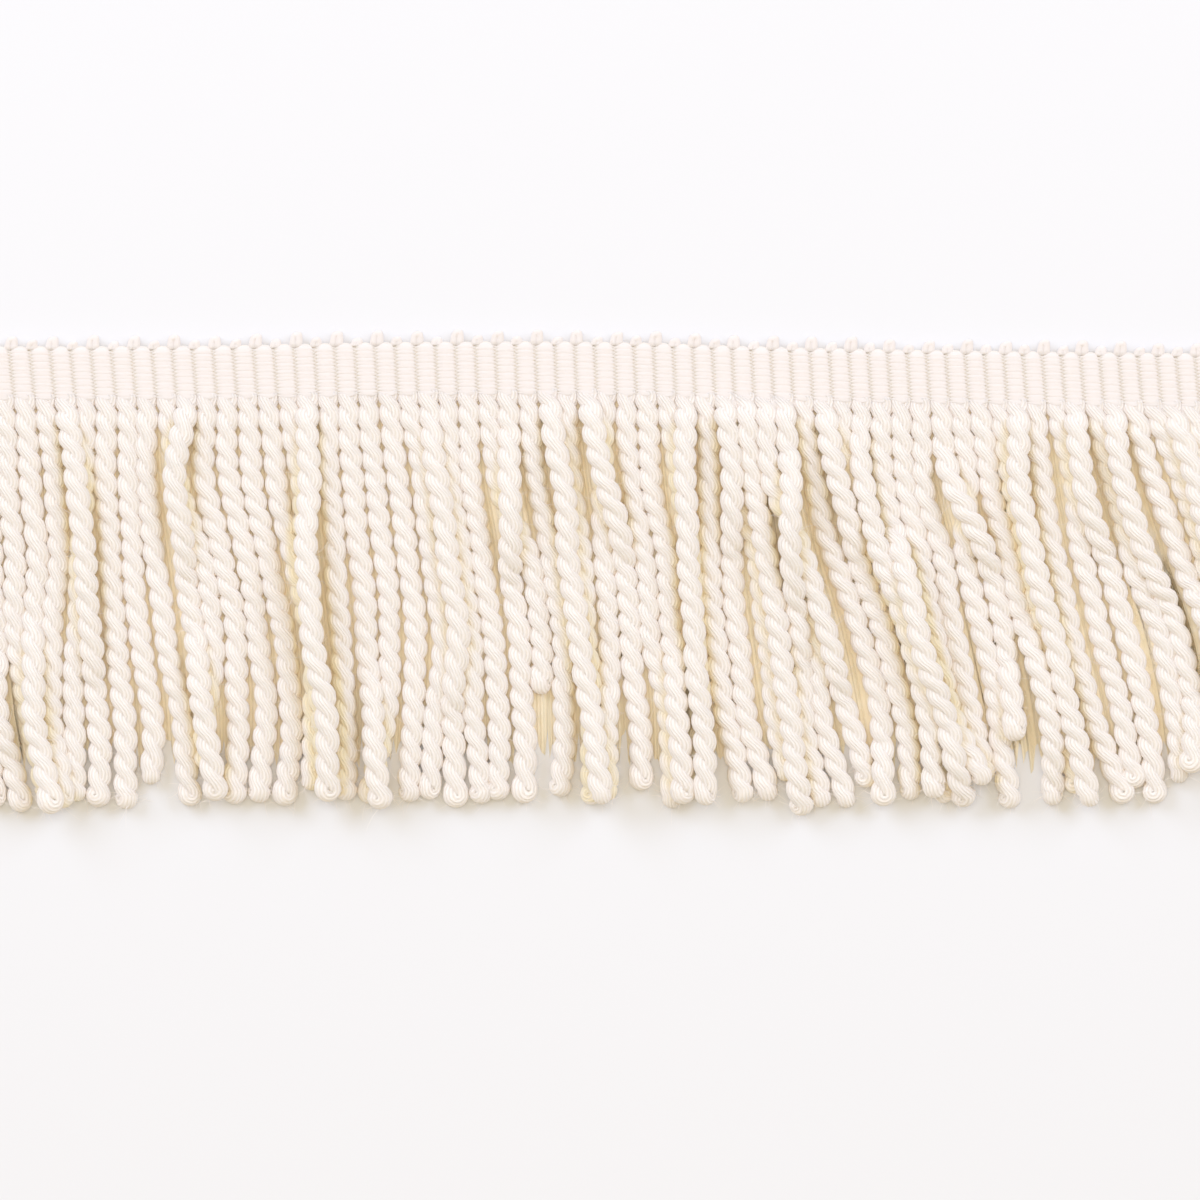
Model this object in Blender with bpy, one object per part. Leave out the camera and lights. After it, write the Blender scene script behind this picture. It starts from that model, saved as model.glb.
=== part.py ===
"""Bullion fringe: a cut length lying face up on a flat surface.

A ribbed woven heading with a row of small loops along its top edge, and below it a skirt of
twisted cords. The cords stand apart from each other and are joined at their roots to one narrow
strip. Lengths below are in millimetres and are turned to metres when a mesh is made. X runs
along the fringe, +Y points to the heading's loops, the cords run towards -Y, and Z is up.
"""
import math
from collections import namedtuple

import bmesh
import bpy

MM = 0.001
FLOOR = 0.0
PIECE_GAP = 0.3

# Ribs: each rib of the heading carries one cord
RIB_FIRST = -3
RIB_LAST = 63
RIB_ZERO_X = -95.36
RIB_PITCH = 3.264
RIB_PITCH_EASE = 0.00165

# Heading
HEADING_HEIGHT = 8.4
CROWN_THICKNESS = 2.4
GROOVE_THICKNESS = 1.8
GROOVE_HALF = 0.85
LOOP_RISE_LARGE = 1.7
LOOP_RISE_SMALL = 1.0
LOOP_NARROWING = 0.65

# Strip that carries the cords
STRIP_WIDTH = 1.0
STRIP_THICKNESS = 2.3
ROOT_HALF = 1.2
ROOT_SHARE = 0.34

# Cords: a square section that turns as it runs down, with its lowest corners on the floor
CORD_RADIUS = 1.65
FIRST_RING = 4.2
RING_STEP = 3.7
TWIST_STEP = math.radians(-45)
TIP_ROUNDING = 1.5
TIP_SCALE = 0.5
THIN_RUN = 14.0
STRAIGHT_RUN = 9.0

# Stacking of cords that cross
SAME_TURN_REACH = 1.04
STAGGERED_REACH = 0.97
STAGGERED_FREE = 0.885
NEIGHBOURS = 9
DEPTH_STEP = 1.0
BEND = 0.06

# Depths below this line are what the cord rows are measured at
ROOT_LINE_Y = -4.8
DRIFT_DEPTHS = (12.8, 25.6, 38.4, 51.2)

YARN_COLOUR = (0.84, 0.79, 0.69, 1.0)
YARN_ROUGHNESS = 0.85

# The heading's line: place along the fringe, height of its middle, and lean of its ribs in degrees
HeadingRow = namedtuple("HeadingRow", "x middle lean")
HEADING_ROWS = (
    HeadingRow(-112, -0.70, 6.0),
    HeadingRow(-64, -0.55, 5.0),
    HeadingRow(-30, 0.05, 3.0),
    HeadingRow(2, 0.05, 2.5),
    HeadingRow(30, -0.80, 3.5),
    HeadingRow(64, -1.40, 4.5),
    HeadingRow(112, -1.95, 6.5),
)

# One row for each cord. rib: where it hangs, with a half where it comes out between two ribs.
# layer: 0 lies lowest. drift_13 to drift_tip: how far it has wandered to the right of its rib at
# the four depths of DRIFT_DEPTHS and at its tip. drop: the depth of its tip.
Cord = namedtuple("Cord", "rib layer drift_13 drift_26 drift_38 drift_51 drift_tip drop")
CORDS = (
    Cord(-3, 2, 0.9, 1.5, 1.8, 2.6, 4.6, 64.6),
    Cord(-2, 1, 0.5, 1.4, 2.2, 3.4, 5.2, 65.2),
    Cord(-1, 2, 0.7, 1.3, 2.0, 2.6, 6.5, 65.9),
    Cord(0, 2, 0.6, 1.6, 1.8, 4.2, 6.9, 64.0),
    Cord(1, 3, 0.9, 2.0, 1.4, 1.9, 4.7, 65.9),
    Cord(2, 2, 1.5, 2.1, 1.0, 1.3, 3.2, 65.3),
    Cord(3, 3, 1.9, 3.3, 4.1, 5.3, 5.4, 65.0),
    Cord(4, 1, -0.2, -0.9, -1.5, -2.0, -1.2, 64.3),
    Cord(5, 3, 0.0, 0.7, 1.6, 2.9, 3.4, 65.3),
    Cord(6, 2, 0.5, 1.0, 2.2, 4.2, 4.0, 61.5),
    Cord(7, 2, 0.0, 1.4, 3.2, 5.6, 7.2, 65.0),
    Cord(8, 1, 1.8, 5.8, 7.6, 6.2, 6.2, 59.2),
    Cord(9, 3, -1.7, -0.3, 1.3, 2.9, 5.0, 64.0),
    Cord(10, 3, -0.5, 2.6, 4.6, 4.8, 4.5, 64.5),
    Cord(11, 2, 0.3, 3.2, 4.9, 6.2, 4.8, 64.3),
    Cord(12, 2, 0.8, 3.3, 5.9, 7.0, 6.0, 64.8),
    Cord(13, 1, 1.4, 4.1, 7.0, 7.3, 6.8, 62.4),
    Cord(14, 1, 2.0, 3.1, 4.1, 5.5, 6.8, 63.0),
    Cord(15, 3, 0.2, 0.0, 1.0, 3.2, 3.2, 64.0),
    Cord(16, 2, 0.4, 1.2, 2.0, 2.9, 2.9, 64.0),
    Cord(17, 3, 0.7, 2.0, 3.1, 4.0, 5.3, 65.3),
    Cord(18, 1, 1.0, 2.7, 3.5, 2.9, -0.3, 64.5),
    Cord(19, 2, 1.6, 3.2, 4.5, 3.9, 3.5, 64.3),
    Cord(20, 1, 2.3, 3.7, 5.5, 4.2, 3.2, 64.0),
    Cord(21, 3, 1.6, 3.4, 4.8, 3.9, 4.7, 65.1),
    Cord(22, 1, 0.7, 2.4, 3.9, 4.2, 5.5, 64.5),
    Cord(23, 2, 0.5, 2.3, 4.0, 5.0, 4.8, 64.0),
    Cord(24, 1, 1.6, 6.8, 8.5, 8.6, 8.6, 47.0),
    Cord(25, 3, 0.4, 0.5, 1.8, 2.6, 2.8, 64.3),
    Cord(26, 1, 1.4, 3.8, 5.5, 5.9, 5.2, 63.5),
    Cord(27, 3, 2.4, 3.5, 5.1, 7.2, 8.9, 64.5),
    Cord(28, 1, 0.8, 2.4, 3.2, 4.0, 3.7, 64.8),
    Cord(29, 3, 2.9, 6.1, 6.9, 8.3, 8.8, 62.4),
    Cord(30, 1, -0.8, -0.4, 0.5, 0.2, -0.1, 64.0),
    Cord(31, 1, 0.7, 3.0, 3.9, 6.8, 7.1, 65.3),
    Cord(32, 3, 0.8, 3.2, 4.1, 5.1, 6.0, 64.5),
    Cord(33, 1, 2.1, 4.2, 5.1, 5.4, 5.4, 63.5),
    Cord(34, 2, -0.1, 0.5, 1.3, 2.6, 3.4, 64.8),
    Cord(35, 3, 0.7, 0.7, 1.7, 3.5, 6.5, 64.3),
    Cord(36, 2, 1.1, 1.1, 2.1, 3.7, 7.2, 64.0),
    Cord(36.5, 0, 0.5, 3.5, 5.1, 6.7, 8.2, 61.0),
    Cord(37, 3, 1.2, 3.6, 5.5, 7.2, 9.3, 66.4),
    Cord(38, 1, 1.3, 6.5, 10.2, 13.7, 16.9, 62.0),
    Cord(38.5, 0, 1.2, 4.2, 6.9, 7.8, 12.1, 65.3),
    Cord(39, 2, 1.0, 1.0, 2.7, 3.4, 6.1, 65.1),
    Cord(40, 2, 1.7, 5.0, 9.5, 12.4, 12.7, 64.8),
    Cord(41, 3, 2.4, 5.7, 9.9, 13.1, 14.2, 64.0),
    Cord(42, 1, 0.9, 6.0, 10.8, 14.6, 16.5, 64.5),
    Cord(43, 1, 0.0, 3.3, 7.6, 10.4, 11.6, 63.5),
    Cord(44, 3, 0.4, 3.2, 6.1, 10.1, 13.5, 65.0),
    Cord(45, 2, 0.6, 3.3, 5.7, 8.6, 13.4, 61.6),
    Cord(46, 1, 0.5, 3.6, 5.7, 8.5, 10.8, 60.8),
    Cord(47, 3, 1.8, 7.7, 10.4, 11.7, 11.8, 54.4),
    Cord(48, 2, 1.4, 1.0, 4.1, 6.3, 8.1, 65.3),
    Cord(49, 3, 1.8, 4.7, 8.0, 11.4, 11.9, 64.8),
    Cord(50, 1, 2.2, 4.8, 7.6, 10.2, 12.8, 63.0),
    Cord(51, 3, 0.2, 2.5, 5.8, 8.5, 11.9, 65.0),
    Cord(52, 2, 0.8, 3.1, 5.8, 9.3, 14.3, 64.5),
    Cord(53, 1, 2.7, 4.3, 7.5, 10.7, 12.9, 62.0),
    Cord(54, 3, 1.0, 5.0, 8.5, 11.4, 12.9, 64.5),
    Cord(55, 1, 2.8, 6.0, 10.6, 13.0, 13.6, 61.3),
    Cord(56, 3, 1.3, 5.4, 10.7, 12.6, 12.5, 59.5),
    Cord(57, 3, 3.3, 7.8, 12.6, 15.8, 17.9, 64.0),
    Cord(58, 1, 4.7, 8.4, 11.6, 13.5, 15.6, 63.0),
    Cord(59, 3, 3.6, 6.9, 10.1, 12.5, 14.4, 64.5),
    Cord(60, 2, 2.7, 5.9, 9.1, 11.9, 13.5, 64.0),
    Cord(61, 3, 2.5, 5.6, 8.6, 11.2, 12.8, 64.8),
    Cord(62, 1, 2.3, 5.2, 8.0, 10.4, 11.9, 64.2),
    Cord(63, 2, 2.1, 4.8, 7.4, 9.6, 11.0, 64.6),
)


def smooth_through(knots, place):
    """Value at a place on a smooth curve through knots, which are (place, value) pairs."""
    last = len(knots) - 1
    if place <= knots[0][0]:
        return knots[0][1]
    if place >= knots[last][0]:
        return knots[last][1]
    left = max(i for i in range(last) if knots[i][0] <= place)

    def slope(i):
        before = knots[max(i - 1, 0)]
        after = knots[min(i + 1, last)]
        return (after[1] - before[1]) / (after[0] - before[0])

    span = knots[left + 1][0] - knots[left][0]
    t = (place - knots[left][0]) / span
    rise = t * t * (3 - 2 * t)
    leave = t * (1 - t) ** 2 * span
    arrive = -t * t * (1 - t) * span
    value = knots[left][1] * (1 - rise) + knots[left + 1][1] * rise
    return value + slope(left) * leave + slope(left + 1) * arrive


def rib_x(rib):
    """Place of a rib along the fringe, where its cord leaves the heading."""
    return RIB_ZERO_X + RIB_PITCH * rib - RIB_PITCH_EASE * rib * rib


def heading_middle(x):
    return smooth_through([(row.x, row.middle) for row in HEADING_ROWS], x)


def heading_lean(x):
    return math.tan(math.radians(smooth_through([(row.x, row.lean) for row in HEADING_ROWS], x)))


def on_heading(x, offset, z):
    """Point at an offset above the heading's middle line, on the rib that has its foot at x."""
    above_foot = offset + HEADING_HEIGHT / 2
    return (
        (x - heading_lean(x) * above_foot) * MM,
        (heading_middle(x) + offset) * MM,
        z * MM,
    )


def root_depth(x):
    """Depth at which the cords leave the strip."""
    strip_edge = heading_middle(x) - HEADING_HEIGHT / 2 - PIECE_GAP - STRIP_WIDTH
    return ROOT_LINE_Y - strip_edge


def root_half(index):
    """Half the width of a cord's root: less where a third cord shares the room of two ribs."""
    here = rib_x(CORDS[index].rib)
    near = CORDS[max(index - 1, 0):index] + CORDS[index + 1:index + 2]
    room = min(abs(rib_x(cord.rib) - here) for cord in near)
    return min(ROOT_HALF, ROOT_SHARE * room)


def cord_x(cord, depth):
    """Place of a cord along the fringe: it leaves in line with its rib and then wanders."""
    start = rib_x(cord.rib)
    drifts = (cord.drift_13, cord.drift_26, cord.drift_38, cord.drift_51)
    leaves = root_depth(start)
    knots = [(leaves - STRAIGHT_RUN, 0.0), (leaves, 0.0)]
    knots += [pair for pair in zip(DRIFT_DEPTHS, drifts) if pair[0] < cord.drop - TIP_ROUNDING]
    knots.append((cord.drop, cord.drift_tip))
    return start + smooth_through(knots, depth)


def cord_radius(index, depth):
    """Radius of a cord: full, except that a cord with a thin root fills out as it runs down."""
    share = root_half(index) / ROOT_HALF
    filled = min(depth / THIN_RUN, 1.0)
    return CORD_RADIUS * (share + (1 - share) * filled)


def clearance(index, other, depth, apart):
    """Height one cord's centre keeps over another's where they are this far apart in plan."""
    sizes = cord_radius(index, depth) + cord_radius(other, depth)
    staggered = (index - other) % 2 == 1
    reach = sizes * (STAGGERED_REACH if staggered else SAME_TURN_REACH)
    free = sizes * (STAGGERED_FREE if staggered else SAME_TURN_REACH)
    if apart >= free:
        return None
    return math.sqrt(reach * reach - apart * apart)


def stacked_heights():
    """Height of every cord's centre at every DEPTH_STEP, laid down layer by layer."""
    depths = [DEPTH_STEP * i for i in range(round(max(c.drop for c in CORDS) / DEPTH_STEP) + 2)]
    plans = [[cord_x(cord, depth) for depth in depths] for cord in CORDS]
    heights = {}
    for index in sorted(range(len(CORDS)), key=lambda i: (CORDS[i].layer, i)):
        needed = [cord_radius(index, depth) for depth in depths]
        for other, other_heights in heights.items():
            if abs(index - other) > NEIGHBOURS:
                continue
            shorter = min(CORDS[index].drop, CORDS[other].drop)
            for i, depth in enumerate(depths):
                apart = abs(plans[index][i] - plans[other][i])
                lift = clearance(index, other, depth, apart)
                if lift is not None and depth < shorter + TIP_ROUNDING:
                    needed[i] = max(needed[i], other_heights[i] + lift)
        heights[index] = [
            max(need - BEND * (depth - at) ** 2 for need, at in zip(needed, depths))
            for depth in depths
        ]
    return {i: list(zip(depths, row)) for i, row in heights.items()}


def yarn_material(name):
    material = bpy.data.materials.new(name)
    material.use_nodes = True
    shader = material.node_tree.nodes["Principled BSDF"]
    shader.inputs["Base Color"].default_value = YARN_COLOUR
    shader.inputs["Roughness"].default_value = YARN_ROUGHNESS
    shader.inputs["Metallic"].default_value = 0.0
    return material


def band(columns, low, high):
    """A closed band between two offsets from the heading's middle; a column is (x, thickness)."""
    bm = bmesh.new()
    lower = [bm.verts.new(on_heading(x, low, thickness)) for x, thickness in columns]
    edges = [bm.edges.new(pair) for pair in zip(lower, lower[1:])]
    across = bmesh.ops.extrude_edge_only(bm, edges=edges)["geom"]
    upper = sorted((v for v in across if isinstance(v, bmesh.types.BMVert)), key=lambda v: v.co.x)
    for vert, (x, thickness) in zip(upper, columns):
        vert.co = on_heading(x, high, thickness)
    below = bmesh.ops.extrude_face_region(bm, geom=bm.faces[:])["geom"]
    for vert in below:
        if isinstance(vert, bmesh.types.BMVert):
            vert.co.z = FLOOR
    bmesh.ops.recalc_face_normals(bm, faces=bm.faces)
    return bm


def finish(bm, name):
    mesh = bpy.data.meshes.new(name)
    bmesh.ops.recalc_face_normals(bm, faces=bm.faces)
    bm.to_mesh(mesh)
    bm.free()
    piece = bpy.data.objects.new(name, mesh)
    bpy.context.scene.collection.objects.link(piece)
    mesh.materials.append(yarn_material(name + "_yarn"))
    return piece


def side_faces(bm, sign):
    """Side faces of a band that look to +Y or -Y, keyed by the place of their middle."""
    sides = [f for f in bm.faces if f.normal.y * sign > abs(f.normal.z) + abs(f.normal.x)]
    return [(f.calc_center_median().x, f) for f in sides]


def build_heading():
    """Ribbed tape: a crowned rib over each cord, a groove between ribs, a loop over each groove."""
    grooves = [rib_x(rib + 0.5) for rib in range(RIB_FIRST, RIB_LAST)]
    half_rib = RIB_PITCH / 2
    columns = [(rib_x(RIB_FIRST) - half_rib, GROOVE_THICKNESS)]
    columns.append((columns[0][0] + GROOVE_HALF, CROWN_THICKNESS))
    for groove in grooves:
        columns.append((groove - GROOVE_HALF, CROWN_THICKNESS))
        columns.append((groove, GROOVE_THICKNESS))
        columns.append((groove + GROOVE_HALF, CROWN_THICKNESS))
    end = rib_x(RIB_LAST) + half_rib
    columns.append((end - GROOVE_HALF, CROWN_THICKNESS))
    columns.append((end, GROOVE_THICKNESS))
    top = HEADING_HEIGHT / 2
    bm = band(columns, -top, top)
    sides = side_faces(bm, 1)
    for number, groove in enumerate(grooves):
        centre = on_heading(groove, top, 0)[0]
        pair = [face for x, face in sides if abs(x - centre) < GROOVE_HALF * MM]
        rise = LOOP_RISE_LARGE if number % 2 else LOOP_RISE_SMALL
        raised = bmesh.ops.extrude_face_region(bm, geom=pair)["geom"]
        bmesh.ops.delete(bm, geom=pair, context="FACES")
        for vert in raised:
            if isinstance(vert, bmesh.types.BMVert):
                off_centre = vert.co.x - centre
                vert.co.x = centre + off_centre * LOOP_NARROWING
                vert.co.y += (rise - abs(off_centre) / MM * LOOP_NARROWING) * MM
    return finish(bm, "heading")


def grow_cord(bm, face, index, heights):
    """Extrude a root face ring by ring down the cord's path, turning its corners as it goes."""
    cord = CORDS[index]
    start = face.calc_center_median()
    corners = [math.atan2(v.co.z - start.z, v.co.x - start.x) for v in face.verts]
    quarter = math.pi / 2
    first = round((corners[0] - quarter / 2) / quarter)
    turn = 1 if math.sin(corners[1] - corners[0]) > 0 else -1
    angles = [quarter / 2 + quarter * (first + turn * i) for i in range(4)]
    depths = [FIRST_RING]
    while depths[-1] + RING_STEP < cord.drop - 2 * TIP_ROUNDING:
        depths.append(depths[-1] + RING_STEP)
    depths += [cord.drop - TIP_ROUNDING, cord.drop]
    for depth in depths:
        scale = TIP_SCALE if depth == cord.drop else 1.0
        radius = cord_radius(index, depth) * scale
        twist = TWIST_STEP * ((depth - FIRST_RING) / RING_STEP + index % 2)
        height = smooth_through(heights, depth)
        middle = cord_x(cord, depth)
        face = bmesh.ops.extrude_discrete_faces(bm, faces=[face])["faces"][0]
        for vert, angle in zip(face.verts, angles):
            vert.co.x = (middle + radius * math.cos(angle + twist)) * MM
            vert.co.y = (ROOT_LINE_Y - depth) * MM
            vert.co.z = (height + radius * math.sin(angle + twist)) * MM


def build_skirt():
    """The cords and the strip that carries them, as one solid."""
    columns = []
    for index, cord in enumerate(CORDS):
        here = rib_x(cord.rib)
        columns.append((here - root_half(index), STRIP_THICKNESS))
        columns.append((here + root_half(index), STRIP_THICKNESS))
    high = -HEADING_HEIGHT / 2 - PIECE_GAP
    bm = band(columns, high - STRIP_WIDTH, high)
    sides = side_faces(bm, -1)
    heights = stacked_heights()
    for index, cord in enumerate(CORDS):
        here = rib_x(cord.rib) * MM
        face = min(sides, key=lambda pair: abs(pair[0] - here))[1]
        grow_cord(bm, face, index, heights[index])
    return finish(bm, "cord_skirt")


for old in list(bpy.data.objects):
    bpy.data.objects.remove(old, do_unlink=True)
build_heading()
build_skirt()
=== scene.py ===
import math
from collections import namedtuple

import bmesh
import bpy
import numpy as np
from mathutils import Matrix, Vector


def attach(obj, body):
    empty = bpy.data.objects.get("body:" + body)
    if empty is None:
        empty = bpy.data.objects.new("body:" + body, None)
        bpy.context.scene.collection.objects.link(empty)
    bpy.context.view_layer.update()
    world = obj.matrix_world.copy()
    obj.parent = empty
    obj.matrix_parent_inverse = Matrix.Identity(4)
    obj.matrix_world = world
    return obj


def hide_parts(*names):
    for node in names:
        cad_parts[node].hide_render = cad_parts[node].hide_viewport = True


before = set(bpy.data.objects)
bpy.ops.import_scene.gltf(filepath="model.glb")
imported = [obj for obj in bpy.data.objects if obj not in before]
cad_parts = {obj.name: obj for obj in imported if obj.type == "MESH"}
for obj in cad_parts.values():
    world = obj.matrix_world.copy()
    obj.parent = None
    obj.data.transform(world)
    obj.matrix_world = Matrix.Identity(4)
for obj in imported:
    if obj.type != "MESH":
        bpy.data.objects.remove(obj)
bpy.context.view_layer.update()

bl_info = {
    "name": "Bullion fringe",
    "version": (1, 0, 0),
    "blender": (4, 5, 0),
    "location": "View3D > Sidebar > Fringe",
    "description": "A cut length of bullion fringe: ribbed heading, edge loops and twisted cords",
    "category": "Add Mesh",
}

MM = 0.001

# The view: its width on the surface, and where its middle lies below the heading's middle
VIEW_WIDTH = 192.0 * MM
VIEW_MIDDLE_Y = -36.8 * MM

# Ribs: each rib of the heading carries one cord
RIB_FIRST = -3
RIB_LAST = 63
RIB_ZERO_X = -95.36 * MM
RIB_PITCH = 3.264 * MM
RIB_PITCH_EASE = 0.00165 * MM

# The heading's line: place along the fringe, height of its middle (mm), lean of its ribs (degrees)
HeadingRow = namedtuple("HeadingRow", "x middle lean")
HEADING_ROWS = (
    HeadingRow(-112, -0.70, 6.0),
    HeadingRow(-64, -0.55, 5.0),
    HeadingRow(-30, 0.05, 3.0),
    HeadingRow(2, 0.05, 2.5),
    HeadingRow(30, -0.80, 3.5),
    HeadingRow(64, -1.40, 4.5),
    HeadingRow(112, -1.95, 6.5),
)

# Depths below this line are what the cord rows are measured at
ROOT_LINE_Y = -4.8 * MM
DRIFT_DEPTHS = (12.8, 25.6, 38.4, 51.2)

# One row for each cord, in millimetres. rib: where it hangs, with a half where it comes out
# between two ribs. layer: 0 lies lowest. drift_13 to drift_tip: how far it has wandered to the
# right of its rib at the four depths of DRIFT_DEPTHS and at its tip. drop: the depth of its tip.
Cord = namedtuple("Cord", "rib layer drift_13 drift_26 drift_38 drift_51 drift_tip drop")
CORDS = (
    Cord(-3, 2, 0.9, 1.5, 1.8, 2.6, 4.6, 64.6),
    Cord(-2, 1, 0.5, 1.4, 2.2, 3.4, 5.2, 65.2),
    Cord(-1, 2, 0.7, 1.3, 2.0, 2.6, 6.5, 65.9),
    Cord(0, 2, 0.6, 1.6, 1.8, 4.2, 6.9, 64.0),
    Cord(1, 3, 0.9, 2.0, 1.4, 1.9, 4.7, 65.9),
    Cord(2, 2, 1.5, 2.1, 1.0, 1.3, 3.2, 65.3),
    Cord(3, 3, 1.9, 3.3, 4.1, 5.3, 5.4, 65.0),
    Cord(4, 1, -0.2, -0.9, -1.5, -2.0, -1.2, 64.3),
    Cord(5, 3, 0.0, 0.7, 1.6, 2.9, 3.4, 65.3),
    Cord(6, 2, 0.5, 1.0, 2.2, 4.2, 4.0, 61.5),
    Cord(7, 2, 0.0, 1.4, 3.2, 5.6, 7.2, 65.0),
    Cord(8, 1, 1.8, 5.8, 7.6, 6.2, 6.2, 59.2),
    Cord(9, 3, -1.7, -0.3, 1.3, 2.9, 5.0, 64.0),
    Cord(10, 3, -0.5, 2.6, 4.6, 4.8, 4.5, 64.5),
    Cord(11, 2, 0.3, 3.2, 4.9, 6.2, 4.8, 64.3),
    Cord(12, 2, 0.8, 3.3, 5.9, 7.0, 6.0, 64.8),
    Cord(13, 1, 1.4, 4.1, 7.0, 7.3, 6.8, 62.4),
    Cord(14, 1, 2.0, 3.1, 4.1, 5.5, 6.8, 63.0),
    Cord(15, 3, 0.2, 0.0, 1.0, 3.2, 3.2, 64.0),
    Cord(16, 2, 0.4, 1.2, 2.0, 2.9, 2.9, 64.0),
    Cord(17, 3, 0.7, 2.0, 3.1, 4.0, 5.3, 65.3),
    Cord(18, 1, 1.0, 2.7, 3.5, 2.9, -0.3, 64.5),
    Cord(19, 2, 1.6, 3.2, 4.5, 3.9, 3.5, 64.3),
    Cord(20, 1, 2.3, 3.7, 5.5, 4.2, 3.2, 64.0),
    Cord(21, 3, 1.6, 3.4, 4.8, 3.9, 4.7, 65.1),
    Cord(22, 1, 0.7, 2.4, 3.9, 4.2, 5.5, 64.5),
    Cord(23, 2, 0.5, 2.3, 4.0, 5.0, 4.8, 64.0),
    Cord(24, 1, 1.6, 6.8, 8.5, 8.6, 8.6, 47.0),
    Cord(25, 3, 0.4, 0.5, 1.8, 2.6, 2.8, 64.3),
    Cord(26, 1, 1.4, 3.8, 5.5, 5.9, 5.2, 63.5),
    Cord(27, 3, 2.4, 3.5, 5.1, 7.2, 8.9, 64.5),
    Cord(28, 1, 0.8, 2.4, 3.2, 4.0, 3.7, 64.8),
    Cord(29, 3, 2.9, 6.1, 6.9, 8.3, 8.8, 62.4),
    Cord(30, 1, -0.8, -0.4, 0.5, 0.2, -0.1, 64.0),
    Cord(31, 1, 0.7, 3.0, 3.9, 6.8, 7.1, 65.3),
    Cord(32, 3, 0.8, 3.2, 4.1, 5.1, 6.0, 64.5),
    Cord(33, 1, 2.1, 4.2, 5.1, 5.4, 5.4, 63.5),
    Cord(34, 2, -0.1, 0.5, 1.3, 2.6, 3.4, 64.8),
    Cord(35, 3, 0.7, 0.7, 1.7, 3.5, 6.5, 64.3),
    Cord(36, 2, 1.1, 1.1, 2.1, 3.7, 7.2, 64.0),
    Cord(36.5, 0, 0.5, 3.5, 5.1, 6.7, 8.2, 61.0),
    Cord(37, 3, 1.2, 3.6, 5.5, 7.2, 9.3, 66.4),
    Cord(38, 1, 1.3, 6.5, 10.2, 13.7, 16.9, 62.0),
    Cord(38.5, 0, 1.2, 4.2, 6.9, 7.8, 12.1, 65.3),
    Cord(39, 2, 1.0, 1.0, 2.7, 3.4, 6.1, 65.1),
    Cord(40, 2, 1.7, 5.0, 9.5, 12.4, 12.7, 64.8),
    Cord(41, 3, 2.4, 5.7, 9.9, 13.1, 14.2, 64.0),
    Cord(42, 1, 0.9, 6.0, 10.8, 14.6, 16.5, 64.5),
    Cord(43, 1, 0.0, 3.3, 7.6, 10.4, 11.6, 63.5),
    Cord(44, 3, 0.4, 3.2, 6.1, 10.1, 13.5, 65.0),
    Cord(45, 2, 0.6, 3.3, 5.7, 8.6, 13.4, 61.6),
    Cord(46, 1, 0.5, 3.6, 5.7, 8.5, 10.8, 60.8),
    Cord(47, 3, 1.8, 7.7, 10.4, 11.7, 11.8, 54.4),
    Cord(48, 2, 1.4, 1.0, 4.1, 6.3, 8.1, 65.3),
    Cord(49, 3, 1.8, 4.7, 8.0, 11.4, 11.9, 64.8),
    Cord(50, 1, 2.2, 4.8, 7.6, 10.2, 12.8, 63.0),
    Cord(51, 3, 0.2, 2.5, 5.8, 8.5, 11.9, 65.0),
    Cord(52, 2, 0.8, 3.1, 5.8, 9.3, 14.3, 64.5),
    Cord(53, 1, 2.7, 4.3, 7.5, 10.7, 12.9, 62.0),
    Cord(54, 3, 1.0, 5.0, 8.5, 11.4, 12.9, 64.5),
    Cord(55, 1, 2.8, 6.0, 10.6, 13.0, 13.6, 61.3),
    Cord(56, 3, 1.3, 5.4, 10.7, 12.6, 12.5, 59.5),
    Cord(57, 3, 3.3, 7.8, 12.6, 15.8, 17.9, 64.0),
    Cord(58, 1, 4.7, 8.4, 11.6, 13.5, 15.6, 63.0),
    Cord(59, 3, 3.6, 6.9, 10.1, 12.5, 14.4, 64.5),
    Cord(60, 2, 2.7, 5.9, 9.1, 11.9, 13.5, 64.0),
    Cord(61, 3, 2.5, 5.6, 8.6, 11.2, 12.8, 64.8),
    Cord(62, 1, 2.3, 5.2, 8.0, 10.4, 11.9, 64.2),
    Cord(63, 2, 2.1, 4.8, 7.4, 9.6, 11.0, 64.6),
)


def millimetres(name, about, size):
    """A length that a user may change, given in millimetres and kept in metres."""
    return bpy.props.FloatProperty(
        name=name, description=about, default=size * MM, subtype="DISTANCE", precision=5
    )


def hex_colour(name, about, code):
    """A colour that a user may change, given as an sRGB hex code and kept linear."""
    return bpy.props.FloatVectorProperty(
        name=name, description=about, default=linear(code), size=4, min=0, max=1, subtype="COLOR"
    )


def linear(code):
    """An sRGB hex code such as F6EEE4 as linear red, green, blue and alpha."""
    parts = [int(code[i:i + 2], 16) / 255 for i in (0, 2, 4)]
    return [p / 12.92 if p <= 0.04045 else ((p + 0.055) / 1.055) ** 2.4 for p in parts] + [1.0]


class HeadingSettings(bpy.types.PropertyGroup):
    """Sizes of the woven band and of the loops along its edge"""

    height: millimetres("Height", "Height of the woven band without its loops", 8.4)
    thickness: millimetres("Thickness", "Thickness at the crown of a rib", 2.4)
    groove: millimetres("Groove", "How far the face dips between two ribs", 0.7)
    thread: millimetres("Thread", "Spacing of the warp threads that show on one rib", 0.56)
    thread_depth: millimetres("Thread depth", "Depth of the dip between two threads", 0.06)
    zigzag: millimetres("Zigzag", "How far the threads of one rib reach into the next", 0.36)
    end_rounding: millimetres("End rounding", "How far a rib's ends pass the grooves", 0.6)
    loop_rise: millimetres("Loop rise", "Height of the larger loops above the edge", 2.1)
    loop_yarn: millimetres("Loop yarn", "Thickness of the yarn that turns at the edge", 1.4)


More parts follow.
